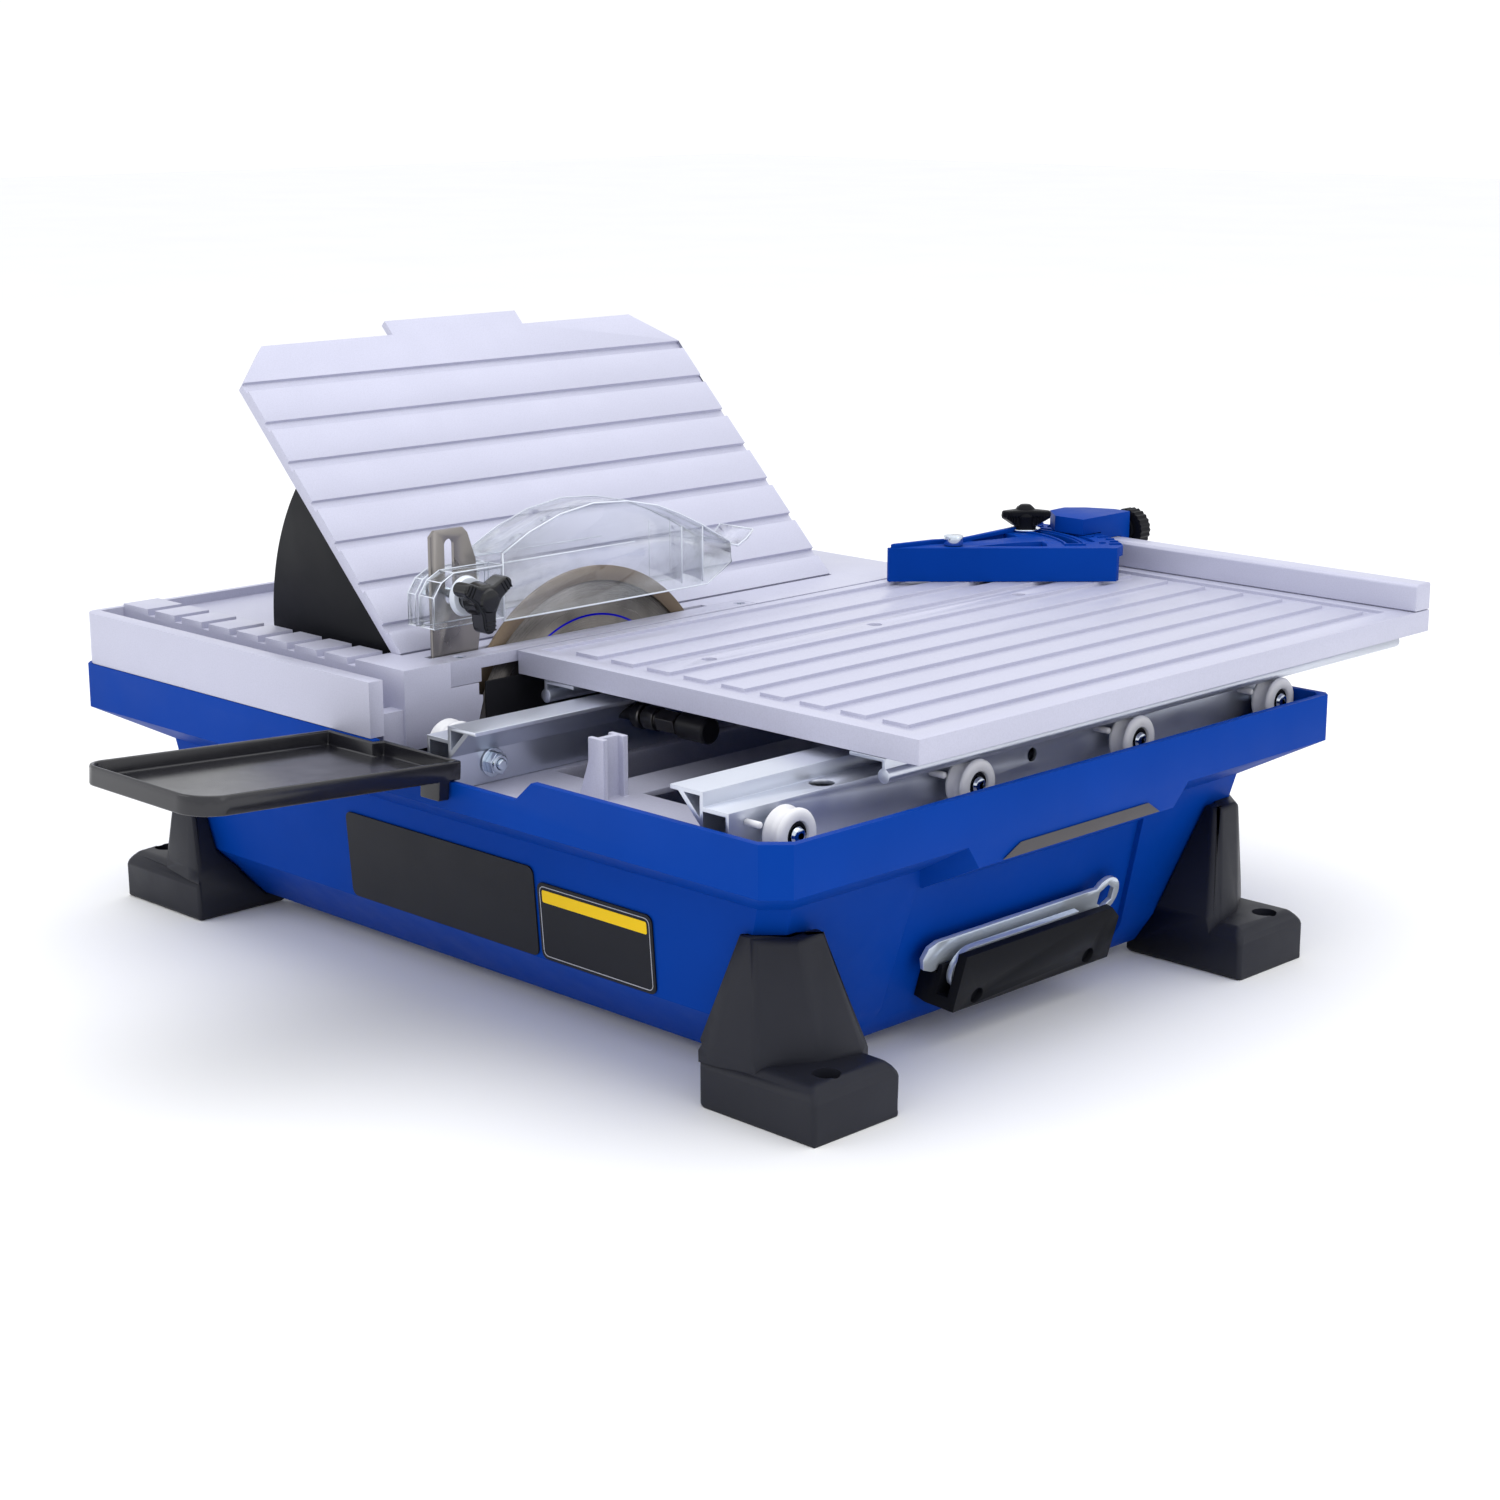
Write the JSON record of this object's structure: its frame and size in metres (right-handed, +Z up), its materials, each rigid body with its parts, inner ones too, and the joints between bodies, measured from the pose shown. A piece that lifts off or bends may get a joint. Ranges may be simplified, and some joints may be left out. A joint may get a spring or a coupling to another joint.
{
  "type": "wet tile saw",
  "caption": "Tabletop wet tile saw: water tub on corner feet, sliding table with fence and angle guide, tilting bevel plate, and a clear-guarded diamond blade.",
  "frame": {"origin": "on the bench under the middle of the overall box, at the soles of the feet", "axes": "+Z up; +Y along the cut, from the splash tray towards the fence; +X across the saw, towards the sliding table and the wrench holder"},
  "size_m": [0.5386, 0.6807, 0.3206],
  "materials": {
    "blue_plastic": "satin moulded",
    "black_plastic": "fine moulded grain",
    "cast_alloy": "satin silver-grey paint on cast alloy",
    "motor_black": "satin black paint",
    "bright_aluminium": "extruded, satin",
    "white_nylon": "smooth",
    "zinc_steel": "bright zinc plated",
    "bare_steel": "ground",
    "clear_plastic": "clear",
    "plate_film": "smooth film"
  },
  "bodies": {
    "base": {"tub": "blue_plastic", "foot_right_front": "black_plastic", "foot_left_front": "black_plastic", "foot_right_back": "black_plastic", "foot_left_back": "black_plastic", "chassis_deck": "cast_alloy", "rail_left": "bright_aluminium", "rail_right": "bright_aluminium", "fixed_table": "cast_alloy", "throat_plate": "cast_alloy", "motor_housing": "motor_black", "arbor_bearing": "bare_steel", "riving_knife": "bare_steel", "wrench_holder": "black_plastic", "rating_plate": "plate_film", "side_trim": "black_plastic", "switch_box": "black_plastic", "cord_inlet_gland": "black_plastic", "table_stop_bolt": "bare_steel", "rail_bolt": "zinc_steel", "roller_axle_right_1": "zinc_steel", "roller_axle_right_2": "zinc_steel", "roller_axle_right_3": "zinc_steel", "roller_axle_right_4": "zinc_steel", "roller_axle_left_1": "zinc_steel", "roller_axle_left_2": "zinc_steel", "roller_axle_left_3": "zinc_steel", "roller_axle_left_4": "zinc_steel"},
    "table": {"sliding_table": "cast_alloy", "fence": "cast_alloy", "track_left": "bright_aluminium", "track_right": "bright_aluminium"},
    "blade_set": {"blade": "bare_steel", "arbor_shaft": "bare_steel", "blade_flange": "bare_steel", "arbor_nut": "zinc_steel"},
    "bevel": {"bevel_plate": "cast_alloy", "bevel_gusset_front": "black_plastic", "bevel_gusset_back": "black_plastic"},
    "guard_carrier": {"guard_screw": "zinc_steel"},
    "guard": {"blade_guard": "clear_plastic"},
    "guard_knob": {"guard_knob": "black_plastic"},
    "guide_clamp": {"guide_clamp": "blue_plastic", "guide_pivot_pin": "zinc_steel"},
    "guide": {"guide_body": "blue_plastic"},
    "guide_wing_knob": {"guide_wing_knob": "black_plastic"},
    "guide_clamp_knob": {"guide_clamp_knob": "black_plastic"},
    "switch_rocker": {"switch_rocker": "blue_plastic"},
    "tray": {"splash_tray": "black_plastic"},
    "wrench_ring": {"wrench_ring": "zinc_steel"},
    "wrench_flat": {"wrench_flat": "zinc_steel"},
    "drain_plug": {"drain_plug": "black_plastic"},
    "roller_right_1": {"roller_right_1": "white_nylon"},
    "roller_right_2": {"roller_right_2": "white_nylon"},
    "roller_right_3": {"roller_right_3": "white_nylon"},
    "roller_right_4": {"roller_right_4": "white_nylon"},
    "roller_left_1": {"roller_left_1": "white_nylon"},
    "roller_left_2": {"roller_left_2": "white_nylon"},
    "roller_left_3": {"roller_left_3": "white_nylon"},
    "roller_left_4": {"roller_left_4": "white_nylon"}
  },
  "joints": [
    {"name": "table_slide", "type": "slide", "parent": "base", "child": "table", "axis": [0, 1, 0], "range_m": [-0.23, 0.05]},
    {"name": "blade_spin", "type": "hinge", "parent": "base", "child": "blade_set", "pos_m": [-0.0282, -0.0371, 0.114], "axis": [1, 0, 0], "continuous": true},
    {"name": "bevel_tilt", "type": "hinge", "parent": "base", "child": "bevel", "pos_m": [-0.043, 0.0075, 0.17], "axis": [0, 1, 0], "range_deg": [-45, 0]},
    {"name": "guard_lift", "type": "slide", "parent": "base", "child": "guard_carrier", "axis": [0, 0, 1], "range_m": [-0.002, 0.022]},
    {"name": "guard_pivot", "type": "hinge", "parent": "guard_carrier", "child": "guard", "pos_m": [-0.0282, -0.1315, 0.2015], "axis": [1, 0, 0], "range_deg": [0, 25]},
    {"name": "guard_knob_turn", "type": "hinge", "parent": "guard_carrier", "child": "guard_knob", "pos_m": [0, -0.1315, 0.2015], "axis": [1, 0, 0], "range_deg": [-180, 180]},
    {"name": "guide_slide", "type": "slide", "parent": "table", "child": "guide_clamp", "axis": [1, 0, 0], "range_m": [0, 0.16]},
    {"name": "guide_swing", "type": "hinge", "parent": "guide_clamp", "child": "guide", "pos_m": [0.017, 0.2053, 0.187], "axis": [0, 0, 1], "range_deg": [0, 45]},
    {"name": "guide_wing_knob_turn", "type": "hinge", "parent": "guide_clamp", "child": "guide_wing_knob", "pos_m": [0.0125, 0.2757, 0.195], "axis": [0, 0, 1], "range_deg": [-180, 180]},
    {"name": "guide_clamp_knob_turn", "type": "hinge", "parent": "guide_clamp", "child": "guide_clamp_knob", "pos_m": [0.0445, 0.3355, 0.1875], "axis": [0, 1, 0], "range_deg": [-180, 180]},
    {"name": "switch_rock", "type": "hinge", "parent": "base", "child": "switch_rocker", "pos_m": [-0.17, 0.2303, 0.127], "axis": [0, 0, 1], "range_deg": [0, 6]},
    {"name": "tray_lift", "type": "slide", "parent": "base", "child": "tray", "axis": [0, 0, 1], "range_m": [0, 0.04]},
    {"name": "wrench_ring_lift", "type": "slide", "parent": "base", "child": "wrench_ring", "axis": [0.2739, 0, 0.9618], "range_m": [0, 0.025]},
    {"name": "wrench_flat_lift", "type": "slide", "parent": "base", "child": "wrench_flat", "axis": [0.2739, 0, 0.9618], "range_m": [0, 0.03]},
    {"name": "drain_pull", "type": "slide", "parent": "base", "child": "drain_plug", "axis": [-1, 0, 0], "range_m": [0, 0.025]},
    {"name": "roller_right_1_spin", "type": "hinge", "parent": "base", "child": "roller_right_1", "pos_m": [0.2408, -0.163, 0.135], "axis": [1, 0, 0], "range_deg": [-265, 1200]},
    {"name": "roller_right_2_spin", "type": "hinge", "parent": "base", "child": "roller_right_2", "pos_m": [0.2408, -0.0415, 0.135], "axis": [1, 0, 0], "range_deg": [-265, 1200]},
    {"name": "roller_right_3_spin", "type": "hinge", "parent": "base", "child": "roller_right_3", "pos_m": [0.2408, 0.082, 0.135], "axis": [1, 0, 0], "range_deg": [-265, 1200]},
    {"name": "roller_right_4_spin", "type": "hinge", "parent": "base", "child": "roller_right_4", "pos_m": [0.2408, 0.2037, 0.135], "axis": [1, 0, 0], "range_deg": [-265, 1200]},
    {"name": "roller_left_1_spin", "type": "hinge", "parent": "base", "child": "roller_left_1", "pos_m": [0.0107, -0.163, 0.135], "axis": [1, 0, 0], "range_deg": [-265, 1200]},
    {"name": "roller_left_2_spin", "type": "hinge", "parent": "base", "child": "roller_left_2", "pos_m": [0.0107, -0.0415, 0.135], "axis": [1, 0, 0], "range_deg": [-265, 1200]},
    {"name": "roller_left_3_spin", "type": "hinge", "parent": "base", "child": "roller_left_3", "pos_m": [0.0107, 0.082, 0.135], "axis": [1, 0, 0], "range_deg": [-265, 1200]},
    {"name": "roller_left_4_spin", "type": "hinge", "parent": "base", "child": "roller_left_4", "pos_m": [0.0107, 0.2037, 0.135], "axis": [1, 0, 0], "range_deg": [-265, 1200]}
  ],
  "couplings": [
    {"joint": "roller_right_1_spin", "follows": "table_slide", "rad_per_m": -90.9},
    {"joint": "roller_right_2_spin", "follows": "table_slide", "rad_per_m": -90.9},
    {"joint": "roller_right_3_spin", "follows": "table_slide", "rad_per_m": -90.9},
    {"joint": "roller_right_4_spin", "follows": "table_slide", "rad_per_m": -90.9},
    {"joint": "roller_left_1_spin", "follows": "table_slide", "rad_per_m": -90.9},
    {"joint": "roller_left_2_spin", "follows": "table_slide", "rad_per_m": -90.9},
    {"joint": "roller_left_3_spin", "follows": "table_slide", "rad_per_m": -90.9},
    {"joint": "roller_left_4_spin", "follows": "table_slide", "rad_per_m": -90.9}
  ]
}
